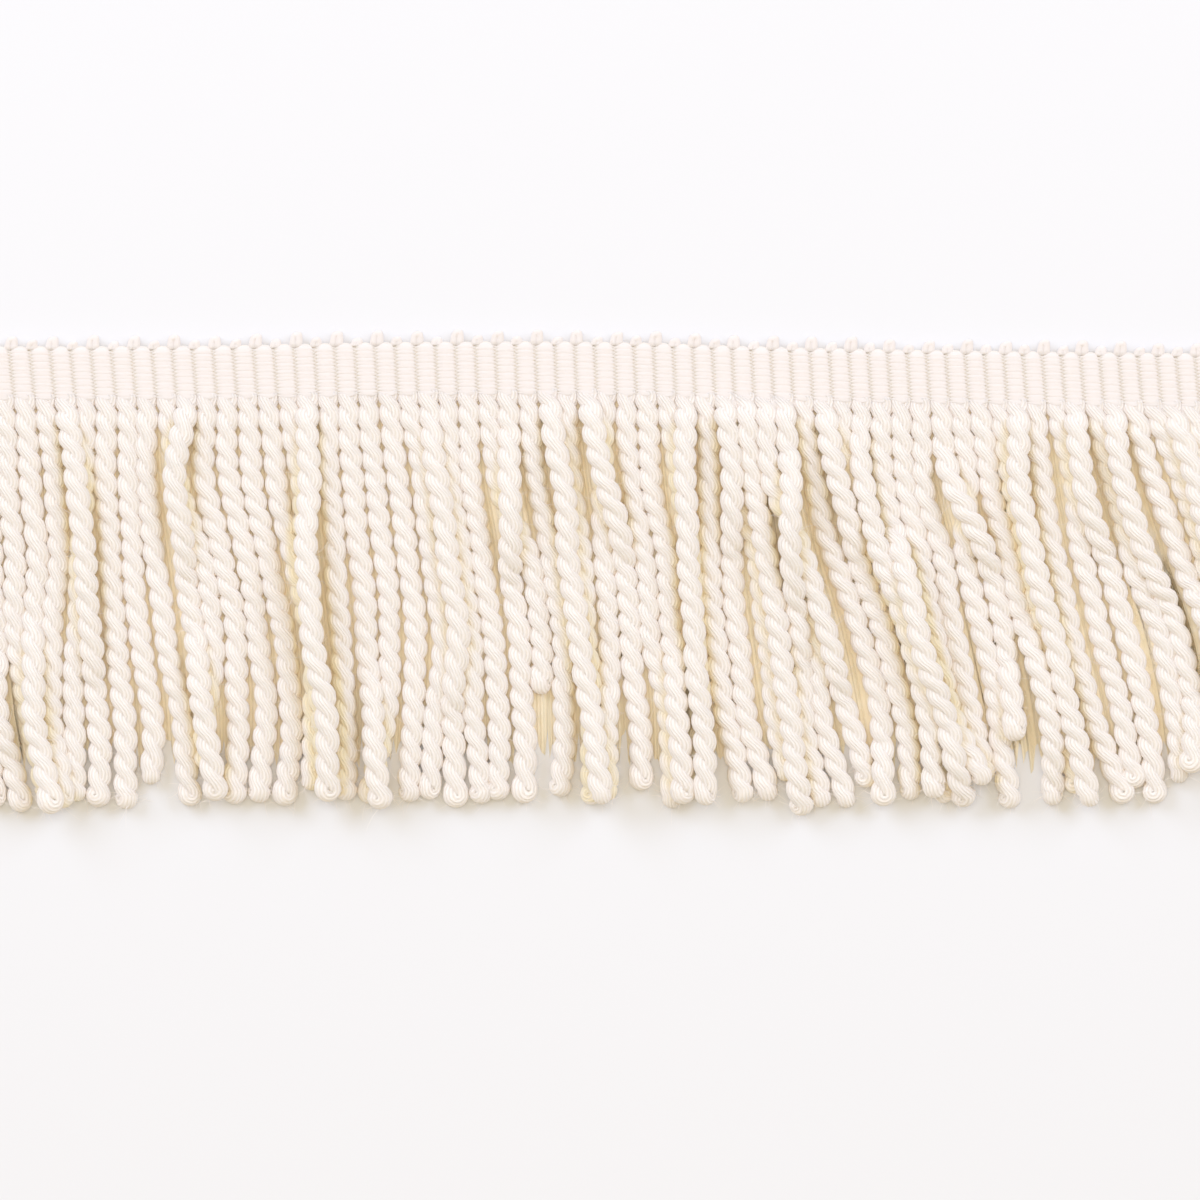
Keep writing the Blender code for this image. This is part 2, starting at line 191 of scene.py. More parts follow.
class CordSettings(bpy.types.PropertyGroup):
    """How a cord is made: two plies, each rounder outside and flatter where they meet"""

    lay: millimetres("Lay", "Length of one full turn of the two plies", 7.0)
    offset: millimetres("Offset", "Distance of a ply's middle from the cord's middle", 0.80)
    outward: millimetres("Outward", "Reach of a ply from its middle to the cord's outside", 1.12)
    inward: millimetres("Inward", "Reach of a ply from its middle into the other ply", 1.45)
    around: millimetres("Around", "Half width of a ply around the cord", 1.36)
    slump: bpy.props.FloatProperty(
        name="Slump", description="Share of the offset left upright in a flat cord", default=0.6
    )
    yarns: bpy.props.IntProperty(name="Yarns", description="Yarns around a ply", default=14, min=6)
    yarn_turn: bpy.props.FloatProperty(
        name="Yarn turn", description="Turn of the yarns against the plies, per millimetre",
        default=math.radians(1), subtype="ANGLE",
    )


class ColourSettings(bpy.types.PropertyGroup):
    """Colours of the yarn, the heading and the surface"""

    yarn: hex_colour("Yarn", "Cream yarn in full light", "FBEEE3")
    # Random fibre streaks, and painted shade in the dips between yarns
    yarn_streaks_and_groove_shade: hex_colour("Yarn in the dips", "Warmer tone between yarns", "F7E1C5")
    # Painted shade: yarn well down between the cords, and the sheet under them, take this warm tone
    yarn_shade: hex_colour("Sheltered yarn", "Warm tone of the yarn down between cords", "F9E3B4")
    tape: hex_colour("Heading", "Cream warp threads of the heading", "E4D7CF")
    # Random fibre streaks, and painted shade down in the heading's grooves
    tape_streaks_and_groove_shade: hex_colour("Heading in the dips", "Warmer tone between threads", "DFD3C3")
    surface: hex_colour("Surface", "Plain pale surface under the fringe", "DEDCDC")


class StageSettings(bpy.types.PropertyGroup):
    """Camera and light"""

    lens: bpy.props.FloatProperty(
        name="Lens", description="Focal length of the camera", default=240.0,
        subtype="DISTANCE_CAMERA",
    )
    surround: bpy.props.FloatProperty(
        name="Surround", description="Even light from all round", default=0.52, min=0
    )
    soft_box: bpy.props.FloatProperty(
        name="Soft box", description="Power that each soft box has a share of", default=21.0, min=0
    )


def smooth_through(knots, places):
    """Values at places on a smooth curve through knots, which are (place, value) pairs."""
    at, value = np.array(knots, float).T
    last = len(at) - 1
    before = np.clip(np.arange(last + 1) - 1, 0, last)
    after = np.clip(np.arange(last + 1) + 1, 0, last)
    slope = (value[after] - value[before]) / (at[after] - at[before])
    places = np.clip(places, at[0], at[last])
    left = np.clip(np.searchsorted(at, places, side="right") - 1, 0, last - 1)
    span = at[left + 1] - at[left]
    t = (places - at[left]) / span
    rise = t * t * (3 - 2 * t)
    leave = t * (1 - t) ** 2 * span
    arrive = -t * t * (1 - t) * span
    return (
        value[left] * (1 - rise) + value[left + 1] * rise
        + slope[left] * leave + slope[left + 1] * arrive
    )


def rib_x(rib):
    """Place of a rib along the fringe, where its cord leaves the heading."""
    return RIB_ZERO_X + RIB_PITCH * rib - RIB_PITCH_EASE * rib * rib


def heading_middle(x):
    """Height in the picture of the heading's middle line, at a place along the fringe."""
    return smooth_through([(row.x * MM, row.middle * MM) for row in HEADING_ROWS], x)


def heading_lean(x):
    """How far the ribs lean to the left for each unit of height, at a place along the fringe."""
    return np.tan(np.radians(smooth_through([(row.x * MM, row.lean) for row in HEADING_ROWS], x)))


def ease(t):
    """A smooth step that is 0 up to t = 0 and 1 from t = 1."""
    t = np.clip(t, 0, 1)
    return t * t * (3 - 2 * t)


def finished_mesh(bm, name):
    """Write a bmesh to a new mesh and free it."""
    mesh = bpy.data.meshes.new(name)
    bm.to_mesh(mesh)
    bm.free()
    return mesh


def link(bm, name, material):
    """Put a finished shape in the scene as a piece that rides on the fringe."""
    mesh = finished_mesh(bm, name)
    piece = bpy.data.objects.new(name, mesh)
    bpy.context.scene.collection.objects.link(piece)
    mesh.materials.append(material)
    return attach(piece, "root")


def points_of(mesh):
    """The mesh's points as rows of x, y, z."""
    flat = np.empty(len(mesh.vertices) * 3)
    mesh.vertices.foreach_get("co", flat)
    return flat.reshape(-1, 3)


def place_points(mesh, points):
    """Move the mesh's points to rows of x, y, z."""
    mesh.vertices.foreach_set("co", np.asarray(points, np.float32).ravel())
    mesh.update()


# Heading

RIB_COLUMNS = 8

# How flat a rib's crown is, and how close to a groove its threads start to turn down into it
CROWN_POWER = 2.6
GROOVE_POWER = 6

# The band's upper and lower edges are rounded, and keep this share of its thickness. The back
# follows this share of the grooves.
UPPER_ROUNDING = 0.9 * MM
LOWER_ROUNDING = 0.35 * MM
EDGE_SHARE = 0.35
REAR_SHARE = 0.8

# A rib's ends stand out past the grooves, only close to the edge
END_POWER = 7

# Threads lie a little unevenly: how much, and how fast it changes by row and by rib
THREAD_UNEVEN = 0.03 * MM
UNEVEN_BY_ROW = 1.7
UNEVEN_BY_RIB = 2.3


def heading_grid(ribs, rows):
    """A flat box of quads, numbered in its own points: x counts columns, y rows, z is 0 or -1."""
    columns = ribs * RIB_COLUMNS
    bm = bmesh.new()
    bmesh.ops.create_grid(bm, x_segments=columns, y_segments=rows, size=1.0)
    for vert in bm.verts:
        vert.co.x = round((vert.co.x + 1) * columns / 2)
        vert.co.y = round((vert.co.y + 1) * rows / 2)
    back = bmesh.ops.extrude_face_region(bm, geom=bm.faces[:])["geom"]
    for vert in back:
        if isinstance(vert, bmesh.types.BMVert):
            vert.co.z = -1
    bmesh.ops.recalc_face_normals(bm, faces=bm.faces)
    for edge in bm.edges:
        a, b = (vert.co for vert in edge.verts)
        rib = int((a.x + b.x) / 2 // RIB_COLUMNS)
        dip_row = a.y == b.y and (int(a.y) + rib) % 2 == 1
        groove = a.x == b.x and int(a.x) % RIB_COLUMNS == 0
        edge.smooth = not (dip_row or groove)
    for face in bm.faces:
        face.smooth = True
    return bm


def heading_points(grid, settings, rows):
    """Where each numbered point of the heading lies: ribs, grooves and threads."""
    column, row, back = grid[:, 0], grid[:, 1], grid[:, 2] < 0
    rib_place = RIB_FIRST - 0.5 + column / RIB_COLUMNS
    across = 2 * ((column / RIB_COLUMNS) % 1) - 1
    groove = column % RIB_COLUMNS == 0
    across[groove] = 1.0
    near_groove = np.abs(across) ** GROOVE_POWER
    rib = np.floor(column / RIB_COLUMNS)
    ridge = np.where((row + rib) % 2 == 0, 1.0, -1.0)
    toward = np.where(groove | (across < 0), -ridge, ridge)
    foot = rib_x(rib_place) + toward * settings.zigzag * near_groove
    up = settings.height * row / rows
    edge = np.minimum(up, settings.height - up)
    rounding = np.where(up < settings.height / 2, LOWER_ROUNDING, UPPER_ROUNDING)
    round_off = np.sqrt(np.clip(1 - (1 - np.minimum(edge / rounding, 1)) ** 2, 0, 1))
    fullness = EDGE_SHARE + (1 - EDGE_SHARE) * round_off
    half = settings.thickness / 2
    dip = settings.groove * np.abs(across) ** CROWN_POWER
    relief = settings.thread_depth / 2 * ridge * (1 - near_groove)
    uneven = THREAD_UNEVEN * np.sin(row * UNEVEN_BY_ROW + rib * UNEVEN_BY_RIB)
    face = half + (half - dip) * fullness + relief * round_off + uneven * ~groove
    rear = half - (half - dip * REAR_SHARE) * fullness - np.minimum(relief, 0) * round_off
    from_centre = 2 * up / settings.height - 1
    rounded_ends = from_centre ** END_POWER * (0.5 - across ** 2) * settings.end_rounding
    return np.column_stack((
        foot - heading_lean(foot) * up,
        heading_middle(foot) - settings.height / 2 + up + rounded_ends,
        np.where(back, np.maximum(rear, 0), face),
    ))


class FRINGE_OT_heading(bpy.types.Operator):
    """Weave the ribbed heading: a crowned rib over each cord, crossed by fine warp threads"""

    bl_idname = "fringe.heading"
    bl_label = "Heading"

    def execute(self, context):
        settings = context.scene.fringe_heading
        ribs = RIB_LAST - RIB_FIRST + 1
        rows = round(settings.height / settings.thread) * 2
        bm = heading_grid(ribs, rows)
        tape = link(bm, "woven_heading", heading_material(context.scene.fringe_colours, settings))
        place_points(tape.data, heading_points(points_of(tape.data), settings, rows))
        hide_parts("heading")
        return {"FINISHED"}


# Loops along the heading's top edge

LOOP_SIDES = 12
LOOP_STEPS = 12
LOOP_RIBBING = 0.05

# Half the width between a loop's legs, and a small loop's share of a large one's height
LARGE_SPAN = 0.45 * MM
SMALL_SPAN = 0.32 * MM
SMALL_RISE = 0.62

# Where a loop's feet stand: beside the groove, down in the band, and at this share of its thickness
FOOT_ASIDE = 0.2 * MM
FOOT_DEPTH = 0.3 * MM
FOOT_LEVEL = 0.55

# How soon a loop's legs are at their full height on the way round it
LEG_STEEPNESS = 1.8

# How loops differ: shares of their height and span, and how far, in mm, their tops lean to the
# right and lift
LOOP_SEED = 7
RISE_RANGE = (0.9, 1.12)
SPAN_RANGE = (0.92, 1.1)
SWEEP_RANGE = (0.1, 0.35)
LIFT_RANGE = (0.0, 0.25)


def loop_template(yarn_radius):
    """Half a ring of ribbed yarn, one unit from its middle to the yarn's middle, opening to -Y."""
    bm = bmesh.new()
    circle = bmesh.ops.create_circle(bm, cap_ends=False, radius=yarn_radius, segments=LOOP_SIDES)
    ring = circle["verts"]
    for number, vert in enumerate(ring):
        if number % 2:
            vert.co *= 1 - LOOP_RIBBING / yarn_radius
    upright = Matrix.Rotation(math.pi / 2, 3, "X")
    bmesh.ops.rotate(bm, verts=ring, cent=(0, 0, 0), matrix=upright)
    bmesh.ops.translate(bm, verts=ring, vec=(1.0, 0, 0))
    bmesh.ops.spin(
        bm, geom=bm.edges[:], cent=(0, 0, 0), axis=(0, 0, 1), angle=math.pi, steps=LOOP_STEPS
    )
    ends = [edge for edge in bm.edges if edge.is_boundary]
    bmesh.ops.holes_fill(bm, edges=ends, sides=0)
    bmesh.ops.recalc_face_normals(bm, faces=bm.faces)
    for face in bm.faces:
        face.smooth = len(face.verts) == 4
    return finished_mesh(bm, "loop_template")


class FRINGE_OT_loops(bpy.types.Operator):
    """Turn a loop of yarn over each groove of the top edge, larger and smaller by turns"""

    bl_idname = "fringe.loops"
    bl_label = "Edge loops"

    def execute(self, context):
        settings = context.scene.fringe_heading
        chance = np.random.default_rng(LOOP_SEED)
        yarn = settings.loop_yarn / 2
        template = loop_template(yarn / MM)
        bm = bmesh.new()
        for number, rib in enumerate(range(RIB_FIRST, RIB_LAST)):
            foot = rib_x(rib + 0.5)
            large = number % 2 == 1
            rise = settings.loop_rise * (1.0 if large else SMALL_RISE) * chance.uniform(*RISE_RANGE)
            half_span = (LARGE_SPAN if large else SMALL_SPAN) * chance.uniform(*SPAN_RANGE)
            leg = rise + FOOT_DEPTH - yarn - half_span
            start = len(bm.verts)
            bm.from_mesh(template)
            bm.verts.ensure_lookup_table()
            base = Vector((
                foot - float(heading_lean(foot)) * settings.height + FOOT_ASIDE,
                float(heading_middle(foot)) + settings.height / 2 - FOOT_DEPTH,
                settings.thickness * FOOT_LEVEL,
            ))
            sweep = chance.uniform(*SWEEP_RANGE)
            lift = chance.uniform(*LIFT_RANGE) * MM
            for vert in bm.verts[start:]:
                x, y, z = vert.co
                up = max(y, 0.0)
                reach = half_span + (math.hypot(x, y) - 1.0) * MM
                angle = math.atan2(y, x)
                vert.co = base + Vector((
                    reach * math.cos(angle) + sweep * up * MM,
                    reach * math.sin(angle) + leg * min(1.0, LEG_STEEPNESS * math.sin(angle)),
                    z * MM + lift * up,
                ))
        loops = link(bm, "edge_loops", loop_material(context.scene.fringe_colours))
        return {"FINISHED"}


# Cords

# How the cords lie on each other: a cord's radius, the share of two radii that is kept where one
# crosses another and past which they pass side by side, how many neighbours may meet, the step
# down the skirt, and how sharply a cord may bend
CORD_RADIUS = 1.62 * MM
CROSS_REACH = 0.90
SIDE_FREE = 0.80
NEIGHBOURS = 9
DEPTH_STEP = 1.0 * MM
BEND = 0.05 / MM

# A traced drift that lies closer to a cord's tip than this, in mm, is left out
NEAR_TIP = 1.5

# Where a cord leaves the heading: how far up it starts and stays straight, its height there and
# the run in which it comes up to the others, and its plies' first offset, size and turn
TUCK = 0.7 * MM
STRAIGHT_RUN = 9.0 * MM
ROOT_HEIGHT = 0.9 * MM
ROOT_RISE = 0.3 * MM
ROOT_RISE_RUN = 2.5 * MM
SETTLE = 5.0 * MM
FILL_RUN = 3.0 * MM
ROOT_OFFSET = 0.95
ROOT_SIZE = 0.96
ROOT_TURN = 0.5
ROOT_TURN_SPREAD = 0.25

# How cords differ. A swing is its size and its wave length. Cords in higher layers are larger.
CORD_SEED = 11
LAY_RANGE = (0.95, 1.03)
PATH_SWING = (0.12 * MM, 17 * MM)
TURN_SWING = (0.2, 21 * MM)
SIZE_SWING = (0.02, 13 * MM)
LAYER_SIZE = 0.03
MIDDLE_LAYER = 2
TIP_SWELL_RUN = 3.5 * MM
TIP_SWELL_RANGE = (0.02, 0.18)
PLY_UNEVEN = 0.02
PLY_UNEVEN_WAVE = 4.3 * MM
LOWEST = 0.02 * MM

# Shelter between cords, which sets the painted shade there: the grid that the tops are kept on, and
# the depth that counts as full
SHELTER_STEP = 0.4 * MM
SHELTER_LEFT = 4 * MM
SHELTER_RIGHT = 24 * MM
SHELTER_REACH = 1.2 * MM
SHELTER_BLUR = 5
SHELTER_DEPTH = 3.0 * MM

# A cord's mesh: points round a ply, rings down one ply and rings round the fold at the tip.
# CORD_UV_STEP keeps the yarn maps of two cords apart.
PLY_SIDES = 24
RINGS_DOWN = 97
RINGS_ROUND = 9
CORD_RINGS = 2 * RINGS_DOWN + RINGS_ROUND
CORDS_IN_PIECE = 14
CORD_UV_STEP = 200.0

# Loose fibres: length in mm, how far they stand out, their curl and taper, how many there are, and
# the rings at a cord's roots that have none and beside its fold that have more
FIBRE_SEED = 5
FIBRE_SIDES = 3
FIBRE_RINGS = 5
FIBRE_RADIUS = 0.035 * MM
FIBRE_LENGTH = (1.0, 2.6)
FIBRE_OUT = (0.35, 0.9)
FIBRE_CURL = 0.35
FIBRE_TAPER = 0.7
FIBRES_ON_CORD = 50
FIBRES_AT_TIP = 24
BARE_RINGS = 8
RINGS_BY_FOLD = 3
NEVER_ZERO = 1e-9

# The sheet of yarn in painted shade under the cords: columns for each rib, rows, the longest and
# the shortest share of its run, the ribs its drift is evened over, its height, and the width that
# its yarn map spans
SHADE_SHEET_SEED = 3
SHADE_SHEET_COLUMNS = 8
SHADE_SHEET_ROWS = 24
SHADE_SHEET_RUN = 60.0 * MM
SHADE_SHEET_SHORTEST = 0.9
SHADE_SHEET_BLUR = 5
SHADE_SHEET_TOP = 0.9 * MM
SHADE_SHEET_END_POWER = 8
SHADE_SHEET_WAVE = 0.15 * MM
SHADE_SHEET_SHELTER = 0.9
SHADE_SHEET_YARN_SPAN = 7.1 * MM
SHADE_SHEET_OFF_ROOT = 10.0


def root_depth(x):
    """Depth at which a cord leaves the heading, a little inside its edge."""
    height = bpy.context.scene.fringe_heading.height
    return ROOT_LINE_Y - (heading_middle(x) - height / 2) - TUCK


def cord_x(cord, depths):
    """Place of a cord along the fringe: it leaves in line with its rib and then wanders."""
    start = rib_x(cord.rib)
    drifts = (cord.drift_13, cord.drift_26, cord.drift_38, cord.drift_51)
    leaves = float(root_depth(start))
    knots = [(leaves - STRAIGHT_RUN, 0.0), (leaves, 0.0)]
    lowest = cord.drop - NEAR_TIP
    above_tip = [(at, drift) for at, drift in zip(DRIFT_DEPTHS, drifts) if at < lowest]
    knots += [(at * MM, drift * MM) for at, drift in above_tip]
    knots.append((cord.drop * MM, cord.drift_tip * MM))
    return start + smooth_through(knots, depths)


def stacked_heights():
    """Height of every cord's middle at every DEPTH_STEP, laid down layer by layer."""
    depths = np.arange(0, max(cord.drop for cord in CORDS) * MM + 2 * DEPTH_STEP, DEPTH_STEP)
    plans = [cord_x(cord, depths) for cord in CORDS]
    spread = (depths[:, None] - depths[None, :]) ** 2
    heights = {}
    for index in sorted(range(len(CORDS)), key=lambda i: (CORDS[i].layer, i)):
        needed = np.full(len(depths), CORD_RADIUS)
        for other, other_heights in heights.items():
            if abs(index - other) > NEIGHBOURS:
                continue
            apart = np.abs(plans[index] - plans[other])
            reach = 2 * CORD_RADIUS * CROSS_REACH
            lift = np.sqrt(np.clip(reach ** 2 - apart ** 2, 0, None))
            shorter = min(CORDS[index].drop, CORDS[other].drop) * MM
            meets = (apart < 2 * CORD_RADIUS * SIDE_FREE) & (depths < shorter)
            needed = np.where(meets, np.maximum(needed, other_heights + lift), needed)
        heights[index] = (needed[None, :] - BEND * spread).max(axis=1)
    return depths, heights


def sheltering_tops(depths, heights):
    """Height of the cords' tops round every place of a grid along the fringe and down it."""
    first, last = rib_x(RIB_FIRST) - SHELTER_LEFT, rib_x(RIB_LAST) + SHELTER_RIGHT
    places = np.arange(first, last, SHELTER_STEP)
    tops = np.zeros((len(places), len(depths)))
    for index, cord in enumerate(CORDS):
        apart = np.abs(places[:, None] - cord_x(cord, depths)[None, :])
        near = (apart < CORD_RADIUS + SHELTER_REACH) & (depths < cord.drop * MM)
        tops = np.where(near, np.maximum(tops, heights[index] + CORD_RADIUS), tops)
    blur = np.ones(SHELTER_BLUR) / SHELTER_BLUR
    return places, np.apply_along_axis(np.convolve, 0, tops, blur, "same")


def shelter_of(points, depths, places, tops):
    """How deep each point lies below the tops round it: 0 in the open, 1 well down between."""
    across = np.clip((points[:, 0] - places[0]) / SHELTER_STEP, 0, len(places) - 1.01)
    down = np.clip((ROOT_LINE_Y - points[:, 1]) / DEPTH_STEP, 0, len(depths) - 1.01)
    i, j = across.astype(int), down.astype(int)
    u, v = across - i, down - j
    top = (
        tops[i, j] * (1 - u) * (1 - v) + tops[i + 1, j] * u * (1 - v)
        + tops[i, j + 1] * (1 - u) * v + tops[i + 1, j + 1] * u * v
    )
    below_heading = ease((ROOT_LINE_Y - points[:, 1]) / SETTLE)
    return np.clip((top - points[:, 2]) / SHELTER_DEPTH, 0, 1) * below_heading


def tube(sides, rings, closed):
    """A long tube whose points are sorted ring by ring and then by their side."""
    bm = bmesh.new()
    bmesh.ops.create_cone(bm, cap_ends=closed, segments=sides, radius1=1.0, radius2=1.0, depth=2.0)
    upright = [edge for edge in bm.edges if abs(edge.verts[0].co.z - edge.verts[1].co.z) > 1]
    bmesh.ops.subdivide_edges(bm, edges=upright, cuts=rings - 2, use_grid_fill=True)

    def number(vert):
        """Ring and side in one number. The quarter keeps a side clear of the rounding."""
        ring = round((vert.co.z + 1) / 2 * (rings - 1))
        side = round(math.atan2(vert.co.y, vert.co.x) / (2 * math.pi) * sides + 0.25) % sides
        return ring * sides + side

    bm.verts.sort(key=number)
    bm.verts.index_update()
    return bm


def cord_template():
    """The tube that becomes a cord. Its yarn map runs once round it."""
    bm = tube(PLY_SIDES, CORD_RINGS, True)
    uv = bm.loops.layers.uv.new("yarn")
    bm.verts.layers.float.new("shelter")
    for face in bm.faces:
        face.smooth = len(face.verts) == 4
        numbers = [loop.vert.index % PLY_SIDES for loop in face.loops]
        over_seam = max(numbers) - min(numbers) > PLY_SIDES / 2
        for loop, number in zip(face.loops, numbers):
            loop[uv].uv = (number / PLY_SIDES + (over_seam and number < PLY_SIDES / 2), 0)
    return finished_mesh(bm, "cord_template")


def swing(chance, along, size, wave):
    """A slow random swing along a cord: a wave, and one of half its size out of step with it."""
    first, second = chance.uniform(0, 2 * math.pi, 2)
    main = np.sin(2 * math.pi * along / wave + first)
    return size * (main + 0.5 * np.sin(5.1 * along / wave + second))


def centre_line(cord, depths_of_stack, heights, tip_reach, chance):
    """Middle line of a cord with its side and up directions, from the heading to its tip."""
    start = float(root_depth(rib_x(cord.rib)))
    depths = np.linspace(start, cord.drop * MM - tip_reach, RINGS_DOWN)
    run = depths - start
    settled = ease(run / SETTLE)
    x = cord_x(cord, depths) + swing(chance, run, *PATH_SWING) * settled
    root = ROOT_HEIGHT + ROOT_RISE * ease(run / ROOT_RISE_RUN)
    z = root * (1 - settled) + np.interp(depths, depths_of_stack, heights) * settled
    middle = np.column_stack((x, ROOT_LINE_Y - depths, z))
    along = np.gradient(middle, axis=0)
    along /= np.linalg.norm(along, axis=1)[:, None]
    side = np.cross(along, (0, 0, 1.0))
    side *= (np.sign(side[:, 0]) / np.linalg.norm(side, axis=1))[:, None]
    up = np.cross(side, along)
    up *= np.sign(up[:, 2:])
    return middle, along, side, up


def cord_shape(cord, depths_of_stack, heights, settings, chance):
    """One cord's points and the run to each ring: down one ply, round the tip and up the other.

    Each line of points along a ply follows its yarns, which turn against the plies. A cord lying
    flat has slumped, so its plies keep only a share of their offset upright.
    """
    tip_reach = settings.offset + settings.outward
    middle, along, side, up = centre_line(cord, depths_of_stack, heights, tip_reach, chance)
    steps = np.linalg.norm(np.diff(middle, axis=0), axis=1)
    run = np.concatenate(([0.0], np.cumsum(steps)))
    lay = settings.lay * chance.uniform(*LAY_RANGE)
    first_turn = ROOT_TURN + chance.uniform(-ROOT_TURN_SPREAD, ROOT_TURN_SPREAD)
    turn = first_turn - 2 * math.pi * run / lay + swing(chance, run, *TURN_SWING)
    fill = ease(run / FILL_RUN)
    size = 1 + LAYER_SIZE * (cord.layer - MIDDLE_LAYER) + swing(chance, run, *SIZE_SWING)
    near_tip = np.clip(1 - (run[-1] - run) / TIP_SWELL_RUN, 0, 1) ** 2
    swell = 1 + near_tip * chance.uniform(*TIP_SWELL_RANGE)
    offset = settings.offset * (ROOT_OFFSET + (1 - ROOT_OFFSET) * fill) * size
    upright = offset * settings.slump
    thickness = (ROOT_SIZE + (1 - ROOT_SIZE) * fill) * size * swell
    even = 2 * math.pi * np.arange(PLY_SIDES) / PLY_SIDES
    yarn_turn = settings.yarn_turn * run / MM
    down = even[None, :] + (yarn_turn - turn)[:, None]
    back_up = -down[-1][None, :] + (yarn_turn - yarn_turn[-1] - turn + turn[-1])[:, None]

    def radius(relative):
        """Reach of a ply's surface from its middle, by the angle from its outermost line."""
        wide, cos, sin = settings.around, np.cos(relative), np.sin(relative)
        reach = np.where(cos > 0, settings.outward, settings.inward)
        oval = reach * wide / np.hypot(wide * cos, reach * sin)
        wave = 2 * math.pi * run[:, None] / PLY_UNEVEN_WAVE
        return thickness[:, None] * (1 + PLY_UNEVEN * np.sin(3 * relative + wave)) * oval

    def ply(direction, relative):
        """A ply's points, from the direction of its middle and the angles round it."""
        angle, from_middle = direction[:, None], radius(relative)
        sideways = np.cos(angle) * offset[:, None] + from_middle * np.cos(angle + relative)
        upward = np.sin(angle) * upright[:, None] + from_middle * np.sin(angle + relative)
        beside = middle[:, None, :] + sideways[:, :, None] * side[:, None, :]
        return beside + upward[:, :, None] * up[:, None, :]

    cos, sin = math.cos(turn[-1]), math.sin(turn[-1])
    outward = cos * side[-1] + sin * up[-1]
    tangent = -sin * side[-1] + cos * up[-1]
    ply_middle = offset[-1] * cos * side[-1] + upright[-1] * sin * up[-1]
    fold = np.linspace(0, math.pi, RINGS_ROUND + 2)[1:-1]
    forward = np.sin(fold)[:, None] * along[-1][None, :]
    bend = np.cos(fold)[:, None] * outward[None, :] + forward
    round_tip = np.cos(fold)[:, None] * ply_middle[None, :] + offset[-1] * forward
    reach = radius(down)[-1]
    tip = (
        middle[-1] + round_tip[:, None, :]
        + (reach * np.cos(down[-1]))[None, :, None] * bend[:, None, :]
        + (reach * np.sin(down[-1]))[None, :, None] * tangent
    )
    plies = (ply(turn, down), tip, ply(turn + math.pi, back_up)[::-1])
    points = np.concatenate(plies).reshape(-1, 3)
    points[:, 2] = np.maximum(points[:, 2], LOWEST)

    tip_run = run[-1] + np.minimum(fold, math.pi - fold) * offset[-1]
    return points, np.concatenate((run, tip_run, run[::-1])) / MM


def fibre_template():
    """The thin tube that becomes one loose fibre."""
    bm = tube(FIBRE_SIDES, FIBRE_RINGS, False)
    for face in bm.faces:
        face.smooth = True
    return finished_mesh(bm, "fibre_template")


def fibre_shape(root, out, along, chance):
    """Points of one loose fibre that leaves a cord at root and curls back along it."""
    length = chance.uniform(*FIBRE_LENGTH) * MM
    t = np.linspace(0, 1, FIBRE_RINGS)[:, None]
    lean = chance.uniform(-1.0, 1.0)
    curl = chance.normal(0, FIBRE_CURL, 3)
    path = root + length * (t * (out * chance.uniform(*FIBRE_OUT) + along * lean) + t * t * curl)
    path[:, 2] = np.maximum(path[:, 2], LOWEST)
    round_it = 2 * math.pi * np.arange(FIBRE_SIDES) / FIBRE_SIDES
    first = np.cross(path[-1] - path[0], (0, 0, 1.0))
    first /= np.linalg.norm(first) + NEVER_ZERO
    second = np.cross(path[-1] - path[0], first)
    second /= np.linalg.norm(second) + NEVER_ZERO
    thin = FIBRE_RADIUS * (1 - FIBRE_TAPER * t)
    ring = np.cos(round_it)[:, None] * first + np.sin(round_it)[:, None] * second
    return (path[:, None, :] + thin[:, :, None] * ring[None, :, :]).reshape(-1, 3)


def add_fibres(loose, template, points, chance):
    """Add one cord's loose fibres to loose: some all along the cord, and more round its fold."""
    rings = points.reshape(-1, PLY_SIDES, 3)
    middles = rings.mean(axis=1)
    for number in range(FIBRES_ON_CORD + FIBRES_AT_TIP):
        if number < FIBRES_ON_CORD:
            at = chance.integers(BARE_RINGS, CORD_RINGS - BARE_RINGS)
        else:
            fold_end = RINGS_DOWN + RINGS_ROUND
            at = chance.integers(RINGS_DOWN - RINGS_BY_FOLD, fold_end + RINGS_BY_FOLD)
        root = rings[at, chance.integers(0, PLY_SIDES)]
        out = (root - middles[at]) / np.linalg.norm(root - middles[at])
        along = middles[at + 1] - middles[at - 1]
        along = along / np.linalg.norm(along)
        place_points(template, fibre_shape(root, out, along, chance))
        loose.from_mesh(template)


